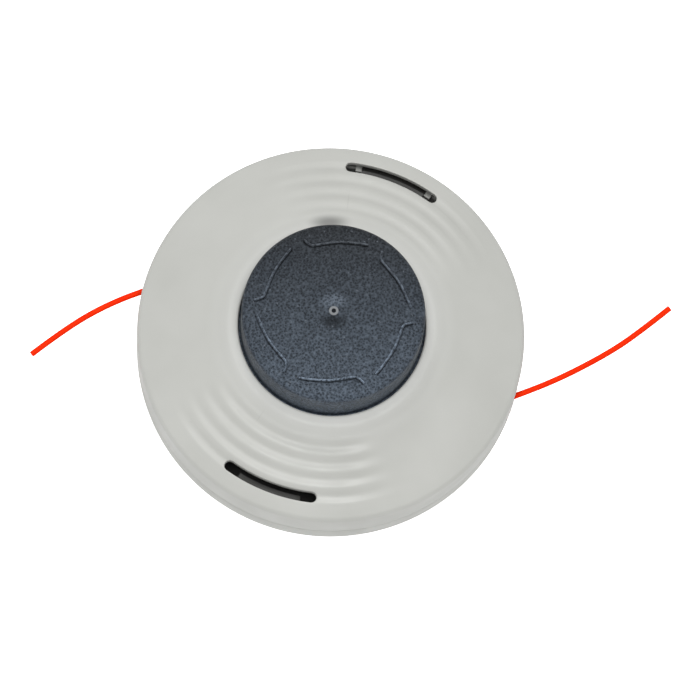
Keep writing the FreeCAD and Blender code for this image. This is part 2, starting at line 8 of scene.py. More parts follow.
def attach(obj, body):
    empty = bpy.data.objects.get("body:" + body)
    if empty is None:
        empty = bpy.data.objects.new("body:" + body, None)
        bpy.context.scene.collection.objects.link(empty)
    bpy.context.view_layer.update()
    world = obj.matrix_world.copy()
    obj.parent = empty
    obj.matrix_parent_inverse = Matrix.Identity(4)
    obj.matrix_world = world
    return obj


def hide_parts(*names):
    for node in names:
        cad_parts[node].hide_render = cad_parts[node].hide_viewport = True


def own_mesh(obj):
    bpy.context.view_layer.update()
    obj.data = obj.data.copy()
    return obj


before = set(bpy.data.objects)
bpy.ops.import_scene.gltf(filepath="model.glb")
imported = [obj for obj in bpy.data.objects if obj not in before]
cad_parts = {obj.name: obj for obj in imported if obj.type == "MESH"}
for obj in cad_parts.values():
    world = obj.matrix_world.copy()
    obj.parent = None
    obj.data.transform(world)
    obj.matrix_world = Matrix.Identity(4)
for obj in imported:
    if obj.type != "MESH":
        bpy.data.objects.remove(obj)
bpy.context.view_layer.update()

scene = bpy.context.scene
mm = 0.001
upward = Vector((0, 0, 1))
print("frame loaded:", ", ".join(sorted(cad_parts)))


# Camera, floor and light

cameraView = {
    "azimuth": 10.6,
    "elevation": 75.0,
    "roll": 7.9,  # turned about the line of sight, as the photograph was
    "distance": 2000 * mm,
    "pixel": 0.335 * mm,  # one pixel of the photograph, at the height of the cap's rim
    "imageWidth": 700,
    "axisPixel": (331.0, 333.0),  # where the head's axis crosses the rim's plane
    "rimHeight": 36 * mm,
    "sensor": 36.0,
}


def makeCamera():
    azimuth = math.radians(cameraView["azimuth"])
    elevation = math.radians(cameraView["elevation"])
    level = math.cos(elevation)
    back = Vector((math.sin(azimuth) * level, -math.cos(azimuth) * level, math.sin(elevation)))
    turn = back.to_track_quat("Z", "Y") @ Quaternion(upward, math.radians(cameraView["roll"]))
    middle = cameraView["imageWidth"] / 2
    acrossPixels, downPixels = cameraView["axisPixel"]
    offset = turn @ Vector((middle - acrossPixels, downPixels - middle, 0))
    aim = upward * cameraView["rimHeight"] + offset * cameraView["pixel"]
    data = bpy.data.cameras.new("photoCamera")
    data.sensor_width = cameraView["sensor"]
    width = cameraView["imageWidth"] * cameraView["pixel"]
    data.lens = cameraView["sensor"] * cameraView["distance"] / width
    camera = bpy.data.objects.new("photoCamera", data)
    scene.collection.objects.link(camera)
    camera.rotation_mode = "QUATERNION"
    camera.rotation_quaternion = turn
    camera.location = aim + back * cameraView["distance"]
    scene.camera = camera
    return turn


studio = {
    "white": (1, 1, 1, 1),
    "floorReach": 1500 * mm,
    "floorColour": (0.93, 0.93, 0.93, 1),
    "floorRoughness": 0.9,
    "floorLift": 0.25,
    "floorWhite": 0.8,  # added where the camera sees the paper itself, so that it stays white
    "skyStrength": 0.36,
    "axisSize": 600 * mm,
    "axisPower": 12.0,
    "axisPlace": (50 * mm, 230 * mm, 1380 * mm),  # seen in the photograph: right, up, towards the viewer
    "upperSize": 350 * mm,
    "upperPower": 2.4,
    "upperPlace": (-150 * mm, 1150 * mm, 800 * mm),
}


def makeAreaLight(name, place, reach, power, turn):
    data = bpy.data.lights.new(name, "AREA")
    data.shape = "DISK"
    data.size = reach
    data.energy = power
    lamp = bpy.data.objects.new(name, data)
    scene.collection.objects.link(lamp)
    lamp.location = turn @ Vector(place)
    lamp.rotation_mode = "QUATERNION"
    lamp.rotation_quaternion = lamp.location.to_track_quat("Z", "Y")


def makeStudio(turn):
    scene.view_settings.view_transform = "Standard"
    sky = bpy.data.worlds.new("paleStudio")
    sky.use_nodes = True
    background = sky.node_tree.nodes["Background"]
    background.inputs["Color"].default_value = studio["white"]
    background.inputs["Strength"].default_value = studio["skyStrength"]
    scene.world = sky
    makeAreaLight("axisLight", studio["axisPlace"], studio["axisSize"], studio["axisPower"], turn)
    makeAreaLight("upperLight", studio["upperPlace"], studio["upperSize"], studio["upperPower"], turn)
    bm = bmesh.new()
    bmesh.ops.create_grid(bm, x_segments=1, y_segments=1, size=studio["floorReach"])
    mesh = bpy.data.meshes.new("floor")
    bm.to_mesh(mesh)
    bm.free()
    floor = bpy.data.objects.new("floor", mesh)
    scene.collection.objects.link(floor)
    paper = bpy.data.materials.new("floorPaper")
    paper.use_nodes = True
    paperShader = paper.node_tree.nodes["Principled BSDF"]
    paperShader.inputs["Base Color"].default_value = studio["floorColour"]
    paperShader.inputs["Roughness"].default_value = studio["floorRoughness"]
    paperShader.inputs["Emission Color"].default_value = studio["white"]
    seen = paper.node_tree.nodes.new("ShaderNodeLightPath")
    lift = paper.node_tree.nodes.new("ShaderNodeMapRange")
    lift.inputs["To Min"].default_value = studio["floorLift"]
    lift.inputs["To Max"].default_value = studio["floorLift"] + studio["floorWhite"]
    paper.node_tree.links.new(seen.outputs["Is Camera Ray"], lift.inputs["Value"])
    paper.node_tree.links.new(lift.outputs["Result"], paperShader.inputs["Emission Strength"])
    mesh.materials.append(paper)


makeStudio(makeCamera())
print("camera, floor and light ready")


# Shader node groups, each used by several finishes

floatSocket = "NodeSocketFloat"
vectorSocket = "NodeSocketVector"


def addNode(tree, kind, **settings):
    node = tree.nodes.new(kind)
    for name, value in settings.items():
        setattr(node, name, value)
    return node


def newGroup(name, takes, gives):
    group = bpy.data.node_groups.new(name, "ShaderNodeTree")
    for socket, kind in takes:
        group.interface.new_socket(name=socket, in_out="INPUT", socket_type=kind)
    for socket, kind in gives:
        group.interface.new_socket(name=socket, in_out="OUTPUT", socket_type=kind)
    entry = addNode(group, "NodeGroupInput")
    leave = addNode(group, "NodeGroupOutput")
    return group, entry, leave


def addNoise(tree, place, scale, detail, roughness=0.5):
    noise = addNode(tree, "ShaderNodeTexNoise")
    noise.inputs["Detail"].default_value = detail
    noise.inputs["Roughness"].default_value = roughness
    tree.links.new(place, noise.inputs["Vector"])
    if isinstance(scale, (int, float)):
        noise.inputs["Scale"].default_value = scale
    else:
        tree.links.new(scale, noise.inputs["Scale"])
    return noise.outputs["Fac"]


def addRange(tree, value, low, high, toLow, toHigh, kind="LINEAR"):
    spread = addNode(tree, "ShaderNodeMapRange", interpolation_type=kind)
    for socket, number in (("From Min", low), ("From Max", high), ("To Min", toLow), ("To Max", toHigh)):
        if isinstance(number, (int, float)):
            spread.inputs[socket].default_value = number
        else:
            tree.links.new(number, spread.inputs[socket])
    tree.links.new(value, spread.inputs["Value"])
    return spread.outputs["Result"]


def addMath(tree, operation, first, second):
    node = addNode(tree, "ShaderNodeMath", operation=operation)
    for socket, value in zip(node.inputs, (first, second)):
        if isinstance(value, (int, float)):
            socket.default_value = value
        else:
            tree.links.new(value, socket)
    return node.outputs["Value"]


# Distance from the head's axis
def addAxisDistance(tree, place):
    flat = addNode(tree, "ShaderNodeVectorMath", operation="MULTIPLY")
    flat.inputs[1].default_value = (1, 1, 0)
    tree.links.new(place, flat.inputs[0])
    away = addNode(tree, "ShaderNodeVectorMath", operation="LENGTH")
    tree.links.new(flat.outputs["Vector"], away.inputs[0])
    return away.outputs["Value"]


# Mould grain: a leathery pebble with finer dust-like grain in it
grainLook = {
    "smoothness": 0.6,
    "dustFiner": 2.3, "dustDetail": 3.0, "dustRoughness": 0.65,
    "fleckCoarser": 0.8, "fleckDetail": 2.0, "fleckRoughness": 0.7, "fleckFrom": 0.6, "fleckFull": 0.76,
}


def makeGrainGroup():
    group, entry, leave = newGroup(
        "mouldGrain",
        (("Place", vectorSocket), ("Grains Per Metre", floatSocket), ("Fine Share", floatSocket)),
        (("Height", floatSocket), ("Sparkle", floatSocket)),
    )
    pebble = addNode(group, "ShaderNodeTexVoronoi", feature="SMOOTH_F1")
    pebble.inputs["Smoothness"].default_value = grainLook["smoothness"]
    group.links.new(entry.outputs["Place"], pebble.inputs["Vector"])
    group.links.new(entry.outputs["Grains Per Metre"], pebble.inputs["Scale"])
    finer = addMath(group, "MULTIPLY", entry.outputs["Grains Per Metre"], grainLook["dustFiner"])
    dustGrainAndSheen = addNoise(group, entry.outputs["Place"], finer, grainLook["dustDetail"], grainLook["dustRoughness"])
    fine = addMath(group, "MULTIPLY", dustGrainAndSheen, entry.outputs["Fine Share"])
    height = addMath(group, "ADD", pebble.outputs["Distance"], fine)
    group.links.new(height, leave.inputs["Height"])
    coarser = addMath(group, "MULTIPLY", entry.outputs["Grains Per Metre"], grainLook["fleckCoarser"])
    fleck = addNoise(group, entry.outputs["Place"], coarser,
                     grainLook["fleckDetail"], grainLook["fleckRoughness"])
    sparkle = addRange(group, fleck, grainLook["fleckFrom"], grainLook["fleckFull"], 0.0, 1.0, "SMOOTHSTEP")
    group.links.new(sparkle, leave.inputs["Sparkle"])
    return group


# Flow clouds: slow changes of shade and gloss that a moulded skin keeps
cloudLook = {
    "shadeDetail": 3.0, "shadeSpan": (0.3, 0.7),
    "glossTighter": 2.7, "glossDetail": 2.0, "glossSpan": (0.32, 0.68),
}


def makeCloudGroup():
    group, entry, leave = newGroup(
        "flowClouds",
        (("Place", vectorSocket), ("Clouds Per Metre", floatSocket)),
        (("Shade", floatSocket), ("Gloss", floatSocket)),
    )
    place, clouds = entry.outputs["Place"], entry.outputs["Clouds Per Metre"]
    broad = addNoise(group, place, clouds, cloudLook["shadeDetail"])
    group.links.new(addRange(group, broad, *cloudLook["shadeSpan"], 0.0, 1.0), leave.inputs["Shade"])
    tighter = addMath(group, "MULTIPLY", clouds, cloudLook["glossTighter"])
    close = addNoise(group, place, tighter, cloudLook["glossDetail"])
    group.links.new(addRange(group, close, *cloudLook["glossSpan"], 0.0, 1.0), leave.inputs["Gloss"])
    return group


grainGroup = makeGrainGroup()
cloudGroup = makeCloudGroup()


# A finish starts with clouds in its colour and gloss, and grain in its normal
def startFinish(name, dark, light, roughness, clouds, grains, fineShare, bumpStrength, bumpDepth):
    material = bpy.data.materials.new(name)
    material.use_nodes = True
    tree = material.node_tree
    shader = tree.nodes["Principled BSDF"]
    place = addNode(tree, "ShaderNodeTexCoord").outputs["Object"]
    cloud = addNode(tree, "ShaderNodeGroup", node_tree=cloudGroup)
    cloud.inputs["Clouds Per Metre"].default_value = clouds
    tree.links.new(place, cloud.inputs["Place"])
    grain = addNode(tree, "ShaderNodeGroup", node_tree=grainGroup)
    grain.inputs["Grains Per Metre"].default_value = grains
    grain.inputs["Fine Share"].default_value = fineShare
    tree.links.new(place, grain.inputs["Place"])
    colour = addNode(tree, "ShaderNodeMix", data_type="RGBA")
    colour.inputs["A"].default_value = (*dark, 1)
    colour.inputs["B"].default_value = (*light, 1)
    tree.links.new(cloud.outputs["Shade"], colour.inputs["Factor"])
    tree.links.new(colour.outputs["Result"], shader.inputs["Base Color"])
    gloss = addRange(tree, cloud.outputs["Gloss"], 0.0, 1.0, *roughness)
    tree.links.new(gloss, shader.inputs["Roughness"])
    bump = addNode(tree, "ShaderNodeBump")
    bump.inputs["Strength"].default_value = bumpStrength
    bump.inputs["Distance"].default_value = bumpDepth
    tree.links.new(grain.outputs["Height"], bump.inputs["Height"])
    tree.links.new(bump.outputs["Normal"], shader.inputs["Normal"])
    parts = {"place": place, "cloud": cloud, "grain": grain, "colour": colour.outputs["Result"]}
    return material, tree, shader, parts


# Building helpers

weld = 0.001 * mm
creaseAngle = 38  # degrees; sharper edges are shaded as edges
roundProfile = 0.5


def polarPoint(radius, degrees, height):
    angle = math.radians(degrees)
    return Vector((radius * math.cos(angle), radius * math.sin(angle), height)) * mm


def spinProfile(bm, corners, steps, startAngle=0.0, closed=True):
    verts = [bm.verts.new(polarPoint(radius, startAngle, height)) for radius, height in corners]
    edges = [bm.edges.new(pair) for pair in zip(verts, verts[1:])]
    if closed:
        edges.append(bm.edges.new((verts[-1], verts[0])))
    bmesh.ops.spin(bm, geom=verts + edges, cent=(0, 0, 0), axis=upward, angle=math.tau,
                   steps=steps, use_merge=True)
    bmesh.ops.remove_doubles(bm, verts=bm.verts, dist=weld)


def roundRings(bm, corners, width, segments):
    wanted = [(radius * mm, height * mm) for radius, height in corners]

    def onCorner(vert):
        radius = vert.co.xy.length
        return any(abs(radius - r) < weld and abs(vert.co.z - z) < weld for r, z in wanted)

    rings = [edge for edge in bm.edges
             if all(onCorner(vert) for vert in edge.verts)
             and abs(edge.verts[0].co.z - edge.verts[1].co.z) < weld]
    bmesh.ops.bevel(bm, geom=rings, offset=width * mm, segments=segments, profile=roundProfile,
                    affect="EDGES", material=-1, clamp_overlap=True)


def addSector(bm, inner, outer, low, high, middle, halfAngle, steps):
    corners = ((inner, low), (outer, low), (outer, high), (inner, high))
    verts = [bm.verts.new(polarPoint(radius, middle - halfAngle, height)) for radius, height in corners]
    face = bm.faces.new(verts)
    bmesh.ops.spin(bm, geom=[face, *face.edges, *verts], cent=(0, 0, 0), axis=upward,
                   angle=math.radians(2 * halfAngle), steps=steps)


def finishPiece(name, bm, material, body, nodes, sharpAngle=creaseAngle):
    bmesh.ops.remove_doubles(bm, verts=bm.verts, dist=weld)
    bmesh.ops.recalc_face_normals(bm, faces=bm.faces)
    mesh = bpy.data.meshes.new(name)
    bm.to_mesh(mesh)
    bm.free()
    mesh.polygons.foreach_set("use_smooth", [True] * len(mesh.polygons))
    mesh.set_sharp_from_angle(angle=math.radians(sharpAngle))
    mesh.materials.append(material)
    piece = bpy.data.objects.new(name, mesh)
    scene.collection.objects.link(piece)
    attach(piece, body)
    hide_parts(*nodes)
    print("made", name, "with", len(mesh.polygons), "faces")
    return piece


# Cutting line

lineCord = {
    "diameter": 2.0 * mm,
    "height": 22.5 * mm,
    "rightRoute": ((51.6, -8.0), (64.2, 2.0), (77.3, 13.2), (90.5, 27.3), (98.4, 38.1), (105.1, 48.7)),
    "leftRoute": ((-52.2, 7.0), (-63.4, -1.2), (-75.3, -11.3), (-85.6, -23.3), (-93.8, -35.9)),
    "rightLength": 78.5 * mm,
    "leftLength": 60.3 * mm,
    "bendOrder": 3, "bendSteps": 24, "roundSteps": 6,
}


def makeLineFinish():
    material, _, shader, _ = startFinish(
        "lineNylon", dark=(0.94, 0.026, 0.001), light=(1.0, 0.036, 0.002), roughness=(0.45, 0.55),
        clouds=160, grains=2600, fineShare=0.4, bumpStrength=0.12, bumpDepth=0.05 * mm)
    shader.inputs["Subsurface Weight"].default_value = 0.12
    shader.inputs["Subsurface Radius"].default_value = (0.004, 0.001, 0.0006)
    shader.inputs["Specular IOR Level"].default_value = 0.04
    return material


def makeLine(name, node, route, finish):
    curve = bpy.data.curves.new(name, "CURVE")
    curve.dimensions = "3D"
    spline = curve.splines.new("NURBS")
    spline.points.add(len(route) - 1)
    for point, (x, y) in zip(spline.points, route):
        point.co = (x * mm, y * mm, lineCord["height"], 1)
    spline.order_u = lineCord["bendOrder"]
    spline.use_endpoint_u = True
    curve.resolution_u = lineCord["bendSteps"]
    curve.bevel_depth = lineCord["diameter"] / 2
    curve.bevel_resolution = lineCord["roundSteps"]
    curve.use_fill_caps = True
    curve.materials.append(finish)
    piece = bpy.data.objects.new(name, curve)
    scene.collection.objects.link(piece)
    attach(piece, "housing")
    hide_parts(node)
    x, y = route[1]


lineNylon = makeLineFinish()
makeLine("lineRight", "line_right", lineCord["rightRoute"], lineNylon)
makeLine("lineLeft", "line_left", lineCord["leftRoute"], lineNylon)
print("cutting lines laid")


# Lower cap: light grey domed cover

cap = {
    "rim": 65.0, "inside": 62.6, "split": 22.5, "insideTop": 33.0,
    "domeFoot": (38.7, 45.5), "domeRim": (65.0, 36.1), "domeRadius": 220.0, "wall": 2.4,
    "rimRound": 2.2, "rimRoundSteps": 8, "lowEdge": 0.35,
    "hole": 31.3, "holeRound": 0.7, "holeRoundSteps": 4,
    "collar": 34.7, "collarTop": 47.1, "collarUnder": 44.7,
    # rows run round the axis and columns across them
    "columns": 252, "rowSpacing": 0.65, "rowStart": 0.5, "rowEnd": 0.3, "innerRows": (52.0, 47.5, 43.0),
    "slotAngles": (87.0, 267.0), "slotRadius": 57.6, "slotHalfWidth": 1.7, "slotHalfAngle": 14.7,
    "slotColumns": 11, "slotRowShares": (0.0, 0.5, 0.85, 1.0), "slotRowGap": 0.7, "slotRowNext": 0.75,
    "slotSlack": 0.01, "slotLip": 0.45, "slotLipSteps": 3,
    "rippleFirst": 41.4, "ripplePitch": 5.2, "rippleDepth": 0.68, "rippleInner": 37.5, "rippleOuter": 61.0,
    "rippleEdge": 1.6, "rippleFull": 20.0, "rippleGone": 48.0,
    "seatRadius": 4.65, "seatRecess": 6.1, "recessFrom": 63.3, "seatOverrun": 4, "seatSides": 64,
    "ledge": (59.2, 62.9, 26.9, 29.7), "ledgeHalfAngle": 13.0, "ledgeSteps": 12,
    # marks on the cap, as angle, radius, half length round the axis, half width, and shade: the knit lines
    # are left by moulding, and the sink mark is a shallow hollow whose darkening is a painted shadow by the
    # knob
    "sinkAndShadow": (109.7, 35.6, 8.8, 3.9, 0.55), "sinkDepth": 0.3,
    "knitLines": ((101.1, 44.5, 0.35, 5.5, 0.07), (250.9, 39.2, 0.35, 3.6, 0.06)),
    "markCore": 0.1, "markAndShadowColour": (0, 0, 0, 1),
    "glowRing": (34.0, 42.0, 0.6),  # painted glow round the hole: inner and outer radius, share
    "glowColour": (0.62, 0.625, 0.6, 1),
}


def domeCentre():
    footRadius, footHeight = cap["domeFoot"]
    rimRadius, rimHeight = cap["domeRim"]
    along = Vector((rimRadius - footRadius, rimHeight - footHeight))
    middle = Vector((rimRadius + footRadius, rimHeight + footHeight)) / 2
    reach = math.sqrt(cap["domeRadius"] ** 2 - along.length_squared / 4)
    return middle + Vector((along.y, -along.x)).normalized() * reach


def domeHeight(radius, drop=0.0):
    centre = domeCentre()
    return centre.y + math.sqrt((cap["domeRadius"] - drop) ** 2 - (radius - centre.x) ** 2)


def smoothStep(value):
    value = min(max(value, 0.0), 1.0)
    return value * value * (3 - 2 * value)


# The dome, and the step up to the collar round the knob
def faceHeight(radius):
    foot = cap["domeFoot"][0]
    if radius <= cap["collar"]:
        return cap["collarTop"]
    step = cap["collarTop"] - domeHeight(cap["collar"])
    return domeHeight(radius) + step * smoothStep((foot - radius) / (foot - cap["collar"]))


def rippleDrop(radius, angle):
    if not cap["rippleInner"] < radius < cap["rippleOuter"]:
        return 0.0
    away = min(abs((angle - middle + 180) % 360 - 180) for middle in cap["slotAngles"])
    fade = smoothStep((cap["rippleGone"] - away) / (cap["rippleGone"] - cap["rippleFull"]))
    edge = smoothStep(min(radius - cap["rippleInner"], cap["rippleOuter"] - radius) / cap["rippleEdge"])
    wave = (1 + math.cos(math.tau * (radius - cap["rippleFirst"]) / cap["ripplePitch"])) / 2
    return cap["rippleDepth"] * wave * fade * edge


# Shallow hollow beside the collar
def sinkDrop(radius, angle):
    middle, centre, halfLength, halfWidth, _ = cap["sinkAndShadow"]
    along = math.radians((angle - middle + 180) % 360 - 180) * radius / halfLength
    return cap["sinkDepth"] * smoothStep(1 - math.hypot(along, (radius - centre) / halfWidth))


def slotRows():
    shares = cap["slotRowShares"]
    offsets = sorted({sign * share * cap["slotHalfWidth"] for share in shares for sign in (-1, 1)})
    return [cap["slotRadius"] + offset for offset in offsets]


def capSection():
    centre = domeCentre()
    roundRadius = cap["rimRound"]
    roundCentre = Vector((cap["rim"] - roundRadius, 0))
    across = roundCentre.x - centre.x
    roundCentre.y = centre.y + math.sqrt((cap["domeRadius"] - roundRadius) ** 2 - across ** 2)
    lean = (roundCentre - centre).normalized()
    roundStart = math.atan2(lean.y, lean.x)
    domeEnd = roundCentre.x + roundRadius * math.cos(roundStart)
    # rows of the outer face, from the hole outwards
    hole, edge = cap["hole"], cap["holeRound"]
    edgeFoot = cap["collarTop"] - edge
    section = [(hole, cap["collarUnder"]), (hole, edgeFoot)]
    for step in range(1, cap["holeRoundSteps"] + 1):
        angle = math.pi - step * math.pi / 2 / cap["holeRoundSteps"]
        section.append((hole + edge + edge * math.cos(angle), edgeFoot + edge * math.sin(angle)))
    rows = slotRows()
    radius = hole + edge + cap["rowStart"]
    while radius < domeEnd - cap["rowEnd"]:
        if radius < rows[0] - cap["slotRowGap"] or radius > rows[-1] + cap["slotRowGap"]:
            section.append((radius, faceHeight(radius)))
        else:
            section.extend((row, faceHeight(row)) for row in rows)
            radius = rows[-1] + cap["slotRowNext"] - cap["rowSpacing"]
        radius += cap["rowSpacing"]
    for step in range(cap["rimRoundSteps"] + 1):
        angle = roundStart * (1 - step / cap["rimRoundSteps"])
        outward = roundCentre.x + roundRadius * math.cos(angle)
        section.append((outward, roundCentre.y + roundRadius * math.sin(angle)))
    low = cap["lowEdge"]
    section += [(cap["rim"], cap["split"] + low), (cap["rim"] - low, cap["split"])]
    # rows of the inner face, back to the hole
    section += [(cap["inside"], cap["split"]), (cap["inside"], cap["insideTop"])]
    section += [(row, domeHeight(row, cap["wall"])) for row in reversed(rows)]
    footRadius, footHeight = cap["domeFoot"]
    section += [(radius, domeHeight(radius, cap["wall"])) for radius in cap["innerRows"]]
    section += [(footRadius, footHeight - cap["wall"]), (cap["collar"], cap["collarUnder"])]
    return section


def cutSlot(bm, middle):
    half, width, slack = cap["slotHalfAngle"], cap["slotHalfWidth"], cap["slotSlack"]
    endColumn = cap["slotColumns"] * 360 / cap["columns"]

    def slotPlace(point):
        away = math.degrees(math.atan2(point.y, point.x)) - middle
        return (away + 180) % 360 - 180, point.xy.length / mm - cap["slotRadius"]

    for vert in bm.verts:
        away, offset = slotPlace(vert.co)
        if abs(offset) < width + slack and abs(abs(away) - endColumn) < slack:
            end = half + math.degrees(math.sqrt(max(width ** 2 - offset ** 2, 0)) / cap["slotRadius"])
            angle = middle + math.copysign(end, away)
            vert.co = polarPoint(cap["slotRadius"] + offset, angle, vert.co.z / mm)
    doomed = []
    for face in bm.faces:
        away, offset = slotPlace(face.calc_center_median())
        if abs(offset) < width and abs(away) < endColumn:
            doomed.append(face)
    bmesh.ops.delete(bm, geom=doomed, context="FACES")
    rims = [edge for edge in bm.edges if edge.is_boundary]
    middleHeight = domeHeight(cap["slotRadius"], cap["wall"] / 2) * mm
    lip = [edge for edge in rims if edge.verts[0].co.z > middleHeight]
    bmesh.ops.bridge_loops(bm, edges=rims)
    bmesh.ops.bevel(bm, geom=lip, offset=cap["slotLip"] * mm, segments=cap["slotLipSteps"],
                    profile=roundProfile, affect="EDGES", material=-1, clamp_overlap=True)


# Half-round seats for the eyelets, with a wider recess for their flanges
def cutSeats(piece):
    end = cap["rim"] + cap["seatOverrun"]
    cuts = ((cap["seatRadius"], cap["inside"] - cap["seatOverrun"]), (cap["seatRecess"], cap["recessFrom"]))
    lying = Matrix.Rotation(math.pi / 2, 4, "Y")
    for side in (-1, 1):
        for radius, start in cuts:
            bm = bmesh.new()
            place = Matrix.Translation(Vector((side * (start + end) / 2, 0, cap["split"])) * mm)
            bmesh.ops.create_cone(bm, cap_ends=True, segments=cap["seatSides"], radius1=radius * mm,
                                  radius2=radius * mm, depth=(end - start) * mm, matrix=place @ lying)
            mesh = bpy.data.meshes.new("seatCutter")
            bm.to_mesh(mesh)
            bm.free()
            cutter = bpy.data.objects.new("seatCutter", mesh)
            scene.collection.objects.link(cutter)
            cut = piece.modifiers.new("seat", "BOOLEAN")
            cut.operation = "DIFFERENCE"
            cut.solver = "EXACT"
            cut.object = cutter
            bpy.context.view_layer.update()
            shaped = piece.evaluated_get(bpy.context.evaluated_depsgraph_get())
            shapedMesh = bpy.data.meshes.new_from_object(shaped)
            piece.modifiers.clear()
            piece.data = shapedMesh
            bpy.data.objects.remove(cutter)


# Latch ledges below the slots: they reach into the wall, so they join it after the seats are cut
def addLedges(mesh):
    bm = bmesh.new()
    for middle in cap["slotAngles"]:
        addSector(bm, *cap["ledge"], middle, cap["ledgeHalfAngle"], cap["ledgeSteps"])
    bmesh.ops.remove_doubles(bm, verts=bm.verts, dist=weld)
    bmesh.ops.recalc_face_normals(bm, faces=bm.faces)
    for face in bm.faces:
        face.smooth = True
    bm.from_mesh(mesh)
    bm.to_mesh(mesh)
    bm.free()


# One soft-edged mark on the cap's face, strongest at its middle
def markMask(tree, place, angle, radius, halfLength, halfWidth, shade):
    turned = addNode(tree, "ShaderNodeMapping")
    turned.inputs["Rotation"].default_value = (0, 0, -math.radians(angle))
    turned.inputs["Location"].default_value = (-radius * mm, 0, 0)
    tree.links.new(place, turned.inputs["Vector"])
    spread = addNode(tree, "ShaderNodeVectorMath", operation="MULTIPLY")
    spread.inputs[1].default_value = (1 / (halfWidth * mm), 1 / (halfLength * mm), 0)
    tree.links.new(turned.outputs["Vector"], spread.inputs[0])
    away = addNode(tree, "ShaderNodeVectorMath", operation="LENGTH")
    tree.links.new(spread.outputs["Vector"], away.inputs[0])
    return addRange(tree, away.outputs["Value"], cap["markCore"], 1.0, shade, 0.0, "SMOOTHSTEP")


def makeCapFinish():
    material, tree, shader, parts = startFinish(
        "capPlastic", dark=(0.515, 0.52, 0.49), light=(0.555, 0.56, 0.53), roughness=(0.42, 0.54),
        clouds=38, grains=2400, fineShare=0.7, bumpStrength=0.1, bumpDepth=0.04 * mm)
    # painted glow: the cap is painted paler round the knob's hole
    inner, outer, share = cap["glowRing"]
    paintedGlow = addNode(tree, "ShaderNodeMix", data_type="RGBA")
    paintedGlow.inputs["B"].default_value = cap["glowColour"]
    tree.links.new(parts["colour"], paintedGlow.inputs["A"])
    axisDistance = addAxisDistance(tree, parts["place"])
    pale = addRange(tree, axisDistance, inner * mm, outer * mm, share, 0.0)
    tree.links.new(pale, paintedGlow.inputs["Factor"])
    colour = paintedGlow.outputs["Result"]
    # the sink mark's darkening is painted shadow; the knit lines are moulding marks
    for mark in (cap["sinkAndShadow"], *cap["knitLines"]):
        stainAndShadow = addNode(tree, "ShaderNodeMix", data_type="RGBA", blend_type="MULTIPLY")
        stainAndShadow.inputs["B"].default_value = cap["markAndShadowColour"]
        tree.links.new(colour, stainAndShadow.inputs["A"])
        tree.links.new(markMask(tree, parts["place"], *mark), stainAndShadow.inputs["Factor"])
        colour = stainAndShadow.outputs["Result"]
    tree.links.new(colour, shader.inputs["Base Color"])
    return material


def makeCap():
    bm = bmesh.new()
    spinProfile(bm, capSection(), cap["columns"], cap["slotAngles"][0])
    for vert in bm.verts:
        radius = vert.co.xy.length / mm
        if vert.co.z / mm > faceHeight(max(radius, cap["collar"])) - cap["wall"] / 2:
            angle = math.degrees(math.atan2(vert.co.y, vert.co.x))
            vert.co.z -= (rippleDrop(radius, angle) + sinkDrop(radius, angle)) * mm
    for middle in cap["slotAngles"]:
        cutSlot(bm, middle)
    piece = finishPiece("lowerCap", bm, makeCapFinish(), "housing", ["lower_cap"])
    cutSeats(piece)
    addLedges(piece.data)
    piece.data.set_sharp_from_angle(angle=math.radians(creaseAngle))


makeCap()


# Spool and bump knob: one dark moulding

spool = {
    "bore": 24.0, "bottom": 16.5, "flange": 50.0, "drum": 26.5,
    "lowerFlange": 18.5, "partition": (26.5, 27.7), "upperFlange": (35.7, 37.7),
    "neckFoot": 40.1, "shoulder": 33.8, "shoulderSpan": (42.6, 44.4),
    "knob": 30.5, "knobTop": 62.7, "knobRound": 1.8, "knobRoundSteps": 8, "crown": 1.4, "crownSteps": 8,
    "mound": 5.4, "moundRise": 0.4, "moundBend": (2.2, 0.7),  # bend: shares of the gate and of the rise
    "gate": 1.5, "gateRise": 0.5, "gateHole": 0.75, "gateDepth": 0.8,
    "ceiling": 61.1, "cavity": 27.5, "cavityFoot": (42.0, 38.5), "seat": (13.0, 17.0), "seatHeight": 45.2,
    "steps": 192, "edge": 0.3, "edgeSteps": 2, "creaseAngle": 35,
    "dogCount": 6, "dogSpan": (20.6, 24.6), "dogHalfAngle": 3.5, "dogHeight": 4.0, "dogSteps": 4,
    "dogRows": ((27.0, 52.5), (34.0, 37.5)),
    "ribCount": 6, "ribStart": 21.5, "ribThickness": 0.58, "ribLift": 0.14,
    "ribBendOrder": 3, "ribBendSteps": 10, "ribRoundSteps": 3,
    # one rib on the knob's face, as radius and sweep from its plain end to its hook
    "ribRoute": ((25.6, 0.0), (24.4, 12.0), (23.8, 25.0), (23.3, 40.5), (23.7, 46.5), (26.5, 48.8)),
    # painted sheen, painted light and shade on flanks, painted shade in the gate's hole, and wear: spans are
    # distances from the axis, unless they say otherwise
    "paintedLightAngle": -71.5, "sheenColour": (0.066, 0.083, 0.107, 1), "sheenShare": 0.8,
    "mottleGrain": (0.75, 1.55), "mottleShade": (0.3, 2.3),
    "ribSpan": (18.0, 20.0), "ribHeights": (0.06, 0.3), "ribHighlightFrom": 0.3, "ribWearAndHighlight": 1.5,
    "moundSpan": (5.5, 7.0), "moundLean": 3.0, "leanFrom": 0.07, "leanFull": 0.32,
    "flankPaintedLight": 1.2, "flankPaintedShade": -0.75, "faceSpan": (26.8, 27.6),
    "pitSpan": (0.7, 0.76), "pitShade": 0.15,
    "speckColour": (0.2, 0.225, 0.26, 1), "speckShare": 0.7,
    "nibColour": (0.24, 0.25, 0.26, 1), "nibInner": (0.72, 0.78), "nibOuter": (1.5, 1.62),
}


def crownHeight(radius):
    reach = spool["knob"] - spool["knobRound"]
    ball = (reach ** 2 + spool["crown"] ** 2) / (2 * spool["crown"])
    return spool["knobTop"] + spool["crown"] - ball + math.sqrt(ball ** 2 - radius ** 2)


